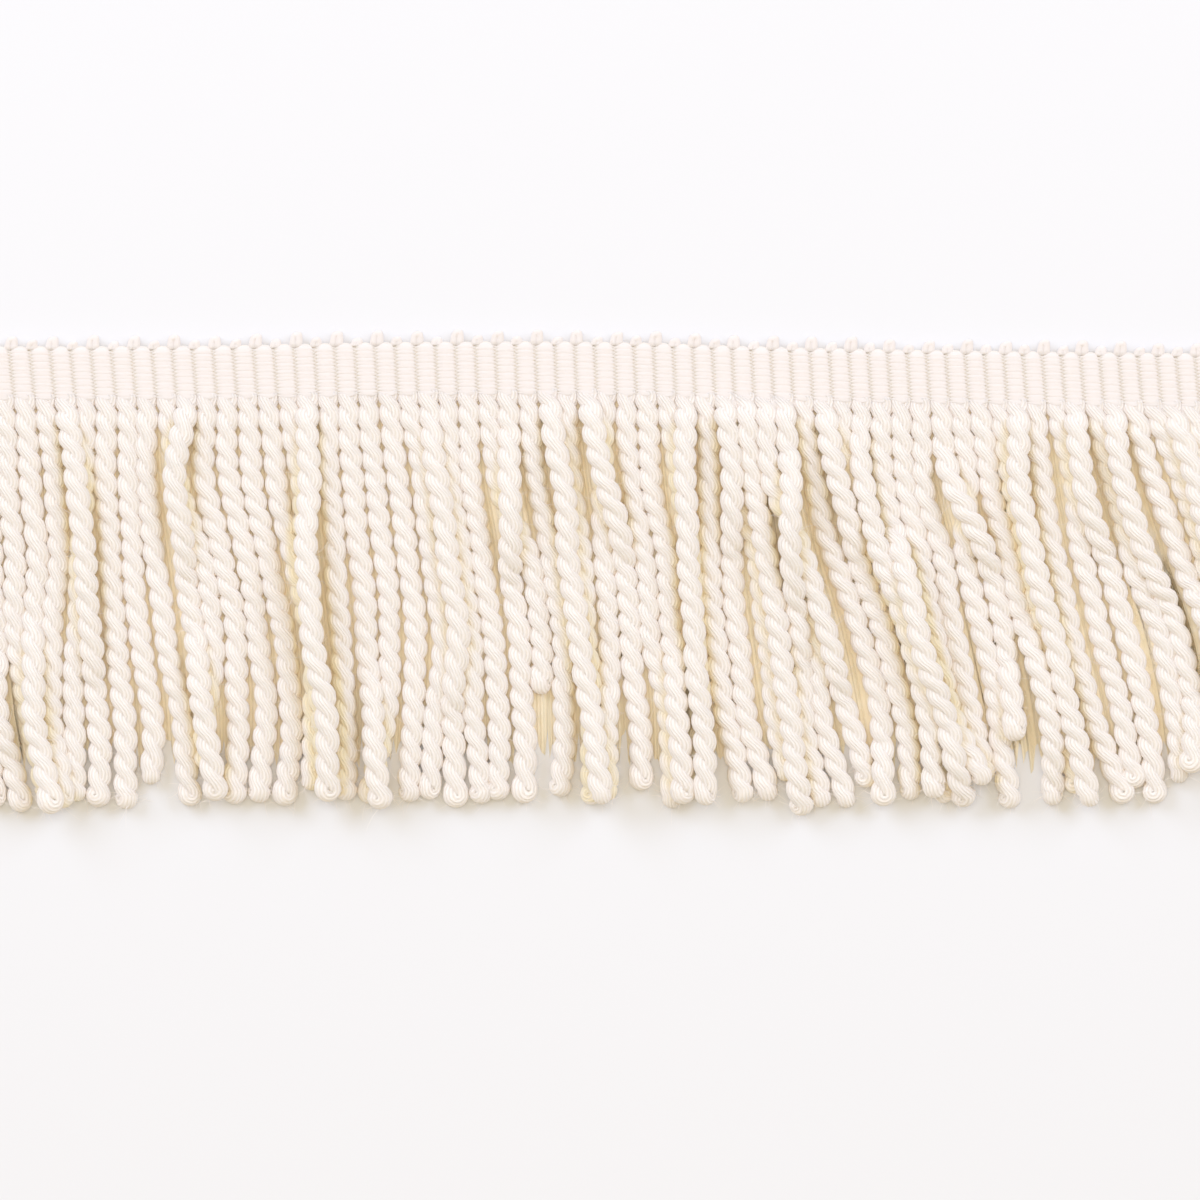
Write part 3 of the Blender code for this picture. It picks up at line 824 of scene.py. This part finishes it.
def painted_shade_sheet(material):
    """Thin sheet of yarn in painted shade under the cords, which shows down in the gaps between
    them.
    """
    whole = [cord for cord in CORDS if cord.rib == int(cord.rib)]
    ribs = [cord.rib for cord in whole]
    drifts = []
    for row in range(SHADE_SHEET_ROWS + 1):
        depth = (1 - row / SHADE_SHEET_ROWS) * SHADE_SHEET_RUN
        drift = [float(cord_x(cord, depth)) - rib_x(cord.rib) for cord in whole]
        padded = np.pad(drift, SHADE_SHEET_BLUR // 2, mode="edge")
        drifts.append(np.convolve(padded, np.ones(SHADE_SHEET_BLUR) / SHADE_SHEET_BLUR, "valid"))
    bm = bmesh.new()
    columns = (RIB_LAST - RIB_FIRST) * SHADE_SHEET_COLUMNS
    ends = np.random.default_rng(SHADE_SHEET_SEED).uniform(SHADE_SHEET_SHORTEST, 1.0, columns + 1)
    bmesh.ops.create_grid(bm, x_segments=columns, y_segments=SHADE_SHEET_ROWS, size=1.0)
    uv = bm.loops.layers.uv.new("yarn")
    shelter = bm.verts.layers.float.new("shelter")
    column_of = {}
    for vert in bm.verts:
        column = round((vert.co.x + 1) / 2 * columns)
        rib = RIB_FIRST + column / SHADE_SHEET_COLUMNS
        row = round((vert.co.y + 1) / 2 * SHADE_SHEET_ROWS)
        down = 1 - row / SHADE_SHEET_ROWS
        x = rib_x(rib) + np.interp(rib, ribs, drifts[row])
        depth = float(root_depth(rib_x(rib))) + down * SHADE_SHEET_RUN * ends[column]
        level = SHADE_SHEET_TOP * (1 - down ** SHADE_SHEET_END_POWER) + SHADE_SHEET_WAVE * math.cos(2 * math.pi * rib)
        vert.co = (x, ROOT_LINE_Y - depth, max(level, LOWEST))
        # Painted shade: the whole sheet takes mostly the warm shaded tone of sheltered yarn
        vert[shelter] = SHADE_SHEET_SHELTER
        column_of[vert] = column
    for face in bm.faces:
        face.smooth = True
        for loop in face.loops:
            rib = RIB_FIRST + column_of[loop.vert] / SHADE_SHEET_COLUMNS
            run = (ROOT_LINE_Y - loop.vert.co.y) / MM + SHADE_SHEET_OFF_ROOT
            loop[uv].uv = (rib * RIB_PITCH / SHADE_SHEET_YARN_SPAN, run)
    layer = link(bm, "painted_shade_sheet", material)


class FRINGE_OT_cords(bpy.types.Operator):
    """Twist every cord from two plies of yarn and lay the cords over and under each other"""

    bl_idname = "fringe.cords"
    bl_label = "Cords"

    def execute(self, context):
        settings = context.scene.fringe_cord
        material = cord_material(context.scene.fringe_colours, settings)
        template = cord_template()
        corners = np.empty(len(template.loops), np.int32)
        template.loops.foreach_get("vertex_index", corners)
        ring = corners // PLY_SIDES
        yarn_map = np.empty(len(template.loops) * 2)
        template.uv_layers[0].data.foreach_get("uv", yarn_map)
        around = yarn_map[::2]
        depths, heights = stacked_heights()
        places, tops = sheltering_tops(depths, heights)
        chance = np.random.default_rng(CORD_SEED)
        fibre = fibre_template()
        fibre_chance = np.random.default_rng(FIBRE_SEED)
        loose = bmesh.new()
        for first in range(0, len(CORDS), CORDS_IN_PIECE):
            bm = bmesh.new()
            for index in range(first, min(first + CORDS_IN_PIECE, len(CORDS))):
                points, length = cord_shape(CORDS[index], depths, heights[index], settings, chance)
                place_points(template, points)
                own = np.column_stack((around, length[ring] + CORD_UV_STEP * index))
                template.uv_layers[0].data.foreach_set("uv", own.ravel())
                # How far down between the cords each point lies, which sets its painted shade
                shelter = shelter_of(points, depths, places, tops)
                template.attributes["shelter"].data.foreach_set("value", shelter.astype(np.float32))
                bm.from_mesh(template)
                add_fibres(loose, fibre, points, fibre_chance)
            bmesh.ops.recalc_face_normals(bm, faces=bm.faces)
            piece = link(bm, f"cords_{first // CORDS_IN_PIECE + 1}", material)
            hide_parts("cord_skirt")
        # A sheet of yarn in painted shade under the cords, seen down in the gaps
        painted_shade_sheet(material)
        fibres = link(loose, "stray_fibres", fibre_material(context.scene.fringe_colours))
        return {"FINISHED"}


# Materials

YARN_SHEEN = 0.25
TAPE_SHEEN = 0.2

# Light passes this far into spun yarn, and a small share of it comes out again
YARN_SCATTER = 1.2 * MM
SCATTER_SHARE = 0.15

# Fibres and yarns of a cord: fibres side by side round a ply, which makes them 0.1 mm wide, and
# streaks for each millimetre along it. The yarns' edges are ragged by FRAY. The dips between yarns
# are BUMP deep, with single fibres on them at FIBRE_SHARE of that.
PLY_FIBRES = 70.0
STREAKS = 1.6
FRAY = 2.6
CORD_BUMP = 0.15 * MM
FIBRE_SHARE = 0.8

# Fibres of the edge loops, 0.4 mm, and of the heading: 1.1 mm along it, 0.19 mm across its threads
# and 0.4 mm up, all as grains for each metre
LOOP_GRAIN = 2500.0
TAPE_GRAIN = (900.0, 5200.0, 2500.0)
TAPE_BUMP = 0.06 * MM


def socket(sockets, key):
    """A socket by its number, or by its name among the ones that are in use."""
    if isinstance(key, int):
        return sockets[key]
    return next(s for s in sockets if s.name == key and s.enabled)


def add(tree, kind, inputs, **options):
    """Add a node with its options. An input is set to a value, or linked to a socket or node."""
    node = tree.nodes.new(kind)
    for name, value in options.items():
        setattr(node, name, value)
    for key, value in inputs.items():
        if isinstance(value, bpy.types.Node):
            value = next(s for s in value.outputs if s.enabled)
        if isinstance(value, bpy.types.NodeSocket):
            tree.links.new(value, socket(node.inputs, key))
        else:
            socket(node.inputs, key).default_value = value
    return node


def matte_material(name, sheen):
    """A matte material and its shader. Spun yarn has a soft sheen and lets a little light in."""
    material = bpy.data.materials.new(name)
    material.use_nodes = True
    shader = material.node_tree.nodes["Principled BSDF"]
    shader.inputs["Roughness"].default_value = 0.9
    shader.inputs["Sheen Weight"].default_value = sheen
    shader.inputs["Sheen Roughness"].default_value = 0.6
    shader.inputs["Specular IOR Level"].default_value = 0.15
    if sheen:
        shader.inputs["Subsurface Weight"].default_value = SCATTER_SHARE
        shader.inputs["Subsurface Radius"].default_value = (1.0, 0.85, 0.7)
        shader.inputs["Subsurface Scale"].default_value = YARN_SCATTER
    return material, shader


def mix(tree, share, first, second):
    """A colour between two colours or sockets: share is 0 for the first and 1 for the second."""
    return add(tree, "ShaderNodeMix", {"Factor": share, "A": first, "B": second}, data_type="RGBA")


def finish_cloth(tree, shader, light, deep, fine, dips, relief, bump_depth):
    """Colour from light to deep by the fibres, then the painted shade of each dip, and the relief.
    """
    faint = {"Value": fine, "From Min": 0.45, "From Max": 0.8, "To Max": 0.4}
    tone = mix(tree, add(tree, "ShaderNodeMapRange", faint), light, deep)
    # Painted shade: each dip's colour comes in where its openness falls to 0
    for colour, openness in dips:
        tone = mix(tree, openness, colour, tone)
    tree.links.new(socket(tone.outputs, "Result"), shader.inputs["Base Color"])
    bump = add(tree, "ShaderNodeBump", {"Strength": 1.0, "Distance": bump_depth, "Height": relief})
    tree.links.new(bump.outputs["Normal"], shader.inputs["Normal"])


def cord_material(colours, settings):
    """Soft spun cream yarn: matte, fibres run along it, with painted shade in the dips between
    yarns and down between the cords.
    """
    material, shader = matte_material("Bullion cord yarn", YARN_SHEEN)
    tree = material.node_tree
    place = tree.nodes.new("ShaderNodeTexCoord").outputs["UV"]
    split = add(tree, "ShaderNodeSeparateXYZ", {"Vector": place})
    along = add(tree, "ShaderNodeMapping", {"Vector": place, "Scale": (PLY_FIBRES, STREAKS, 1.0)})
    grain = {"Vector": along, "Scale": 1.0, "Detail": 2.0, "Roughness": 0.6}
    fine = add(tree, "ShaderNodeTexNoise", grain)

    # Yarns round the ply: 0 in the dip between two of them and 1 on the crest of one. The dips get
    # painted shade: a darker, warmer colour where shade falls between yarns.
    ragged = add(tree, "ShaderNodeMath", {0: fine, 1: FRAY}, operation="MULTIPLY")
    turns = {0: split.outputs["X"], 1: math.pi * settings.yarns, 2: ragged}
    phase = add(tree, "ShaderNodeMath", turns, operation="MULTIPLY_ADD")
    wave = add(tree, "ShaderNodeMath", {0: phase}, operation="SINE")
    crest = add(tree, "ShaderNodeMath", {0: wave}, operation="ABSOLUTE")
    # Painted shade: the share of the darker colour, largest in the dip between two yarns
    groove = add(tree, "ShaderNodeMapRange", {"Value": crest, "From Max": 0.85, "To Min": 0.42})
    fibres = {0: fine, 1: FIBRE_SHARE, 2: crest}
    relief = add(tree, "ShaderNodeMath", fibres, operation="MULTIPLY_ADD")

    # Openness to the light: 1 on top of the cords and 0 well down between them. Less open yarn gets
    # painted shade, the warm shaded tone.
    shelter = add(tree, "ShaderNodeAttribute", {}, attribute_name="shelter").outputs["Fac"]
    fall = {"Value": shelter, "From Min": 0.35, "From Max": 1.0, "To Min": 1.0, "To Max": 0.0}
    openness = add(tree, "ShaderNodeMapRange", fall)

    # The heading's tone where a cord leaves it, and the cord's own within 3 mm
    down = {0: split.outputs["Y"], 1: CORD_UV_STEP}
    run = add(tree, "ShaderNodeMath", down, operation="MODULO")
    away = add(tree, "ShaderNodeMapRange", {"Value": run, "From Min": -1.5, "From Max": 3.0})
    light = mix(tree, away, colours.tape, colours.yarn)

    # Painted shade: in the dips between yarns, and on yarn down between the cords
    dips = ((colours.yarn_streaks_and_groove_shade, groove), (colours.yarn_shade, openness))
    finish_cloth(tree, shader, light, colours.yarn_streaks_and_groove_shade, fine, dips, relief, CORD_BUMP)
    return material


def fibre_material(colours):
    """Single loose fibres: plain pale cream, so thin that they need no pattern."""
    material, shader = matte_material("Loose fibre", 0.0)
    shader.inputs["Base Color"].default_value = colours.yarn
    return material


def loop_material(colours):
    """The same soft cream yarn where it turns at the edge, with its fibres in all directions."""
    material, shader = matte_material("Edge loop yarn", YARN_SHEEN)
    tree = material.node_tree
    place = tree.nodes.new("ShaderNodeTexCoord").outputs["Object"]
    grain = {"Vector": place, "Scale": LOOP_GRAIN, "Detail": 3.0, "Roughness": 0.65}
    fine = add(tree, "ShaderNodeTexNoise", grain)
    finish_cloth(tree, shader, colours.tape, colours.tape_streaks_and_groove_shade, fine, (), fine, TAPE_BUMP)
    return material


def heading_material(colours, settings):
    """Fine cream warp threads packed over the ribs: matte, with painted shade down in the grooves.
    """
    material, shader = matte_material("Warp faced heading tape", TAPE_SHEEN)
    tree = material.node_tree
    place = tree.nodes.new("ShaderNodeTexCoord").outputs["Object"]
    along = add(tree, "ShaderNodeMapping", {"Vector": place, "Scale": TAPE_GRAIN})
    grain = {"Vector": along, "Scale": 1.0, "Detail": 3.0, "Roughness": 0.65}
    fine = add(tree, "ShaderNodeTexNoise", grain)
    split = add(tree, "ShaderNodeSeparateXYZ", {"Vector": place})
    # Painted shade: points lower than the crowns, down in the grooves, take the darker colour
    crowns = add(tree, "ShaderNodeMapRange", {
        "Value": split.outputs["Z"],
        "From Min": settings.thickness - settings.groove * 0.95,
        "From Max": settings.thickness - settings.groove * 0.35,
    })
    dips = ((colours.tape_streaks_and_groove_shade, crowns),)
    finish_cloth(tree, shader, colours.tape, colours.tape_streaks_and_groove_shade, fine, dips, fine, TAPE_BUMP)
    return material


# Stage

# Where each soft box stands, in metres, its share of the power setting, and its colour
SoftBox = namedtuple("SoftBox", "name x y z share colour")
SOFT_BOXES = (
    SoftBox("Left soft box", -0.80, 0.60, 0.75, 0.42, (0.84, 1.0, 1.38)),
    SoftBox("Right soft box", 0.80, 0.50, 0.75, 0.34, (0.84, 1.0, 1.38)),
    SoftBox("Top soft box", -0.05, 0.15, 1.80, 0.50, (1.0, 0.95, 0.86)),
)
SOFT_BOX_SIZE = 0.8
SURROUND_COLOUR = (1.0, 0.84, 0.52, 1)
SURFACE_HALF = 3.0

# The height over the surface at which the view is VIEW_WIDTH wide
VIEW_HEIGHT = 2.5 * MM

# The photo's deep gaps are light and warm, so light bounces on and on between the cords
GAMMA = 1.5
BOUNCES = 24


class FRINGE_OT_stage(bpy.types.Operator):
    """Lay a plain pale surface under the fringe, with soft light from above and a camera over it"""

    bl_idname = "fringe.stage"
    bl_label = "Stage"

    def execute(self, context):
        scene = context.scene
        settings = scene.fringe_stage
        bm = bmesh.new()
        bmesh.ops.create_grid(bm, x_segments=1, y_segments=1, size=SURFACE_HALF)
        mesh = finished_mesh(bm, "surface")
        surface = bpy.data.objects.new("surface", mesh)
        scene.collection.objects.link(surface)
        material, shader = matte_material("Matte white board", 0.0)
        shader.inputs["Base Color"].default_value = scene.fringe_colours.surface
        mesh.materials.append(material)

        world = bpy.data.worlds.new("Even light")
        world.use_nodes = True
        background = world.node_tree.nodes["Background"]
        background.inputs["Color"].default_value = SURROUND_COLOUR
        background.inputs["Strength"].default_value = settings.surround
        scene.world = world

        for box in SOFT_BOXES:
            soft = bpy.data.lights.new(box.name, "AREA")
            soft.size = SOFT_BOX_SIZE
            soft.energy = settings.soft_box * box.share
            soft.color = box.colour
            lamp = bpy.data.objects.new(box.name, soft)
            lamp.location = (box.x, box.y, box.z)
            aim = Vector((0, VIEW_MIDDLE_Y, 0)) - lamp.location
            lamp.rotation_euler = aim.to_track_quat("-Z", "Y").to_euler()
            scene.collection.objects.link(lamp)

        lens = bpy.data.cameras.new("Camera")
        lens.lens = settings.lens
        lens.clip_start = 0.01
        camera = bpy.data.objects.new("Camera", lens)
        above = VIEW_WIDTH * lens.lens / lens.sensor_width
        camera.location = (0, VIEW_MIDDLE_Y, above + VIEW_HEIGHT)
        scene.collection.objects.link(camera)
        scene.camera = camera
        scene.view_settings.view_transform = "Standard"
        scene.view_settings.look = "None"
        scene.view_settings.gamma = GAMMA
        scene.cycles.max_bounces = BOUNCES
        scene.cycles.diffuse_bounces = BOUNCES
        return {"FINISHED"}


class FRINGE_PT_panel(bpy.types.Panel):
    """Sidebar panel with a button for each piece and for the stage"""

    bl_idname = "FRINGE_PT_panel"
    bl_label = "Bullion fringe"
    bl_space_type = "VIEW_3D"
    bl_region_type = "UI"
    bl_category = "Fringe"

    def draw(self, context):
        for operator in OPERATORS:
            self.layout.operator(operator.bl_idname)


SETTINGS = {
    "fringe_heading": HeadingSettings,
    "fringe_cord": CordSettings,
    "fringe_colours": ColourSettings,
    "fringe_stage": StageSettings,
}
OPERATORS = (FRINGE_OT_heading, FRINGE_OT_loops, FRINGE_OT_cords, FRINGE_OT_stage)


def register():
    """Add the settings, the operators and the panel."""
    for name, group in SETTINGS.items():
        bpy.utils.register_class(group)
        setattr(bpy.types.Scene, name, bpy.props.PointerProperty(type=group))
    for cls in (*OPERATORS, FRINGE_PT_panel):
        bpy.utils.register_class(cls)


def unregister():
    """Take out again what register adds."""
    for cls in (FRINGE_PT_panel, *reversed(OPERATORS)):
        bpy.utils.unregister_class(cls)
    for name, group in reversed(SETTINGS.items()):
        delattr(bpy.types.Scene, name)
        bpy.utils.unregister_class(group)


def main():
    """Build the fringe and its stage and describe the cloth."""
    register()
    bpy.ops.fringe.heading()
    bpy.ops.fringe.loops()
    bpy.ops.fringe.cords()
    bpy.ops.fringe.stage()
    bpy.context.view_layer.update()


if __name__ == "__main__":
    main()
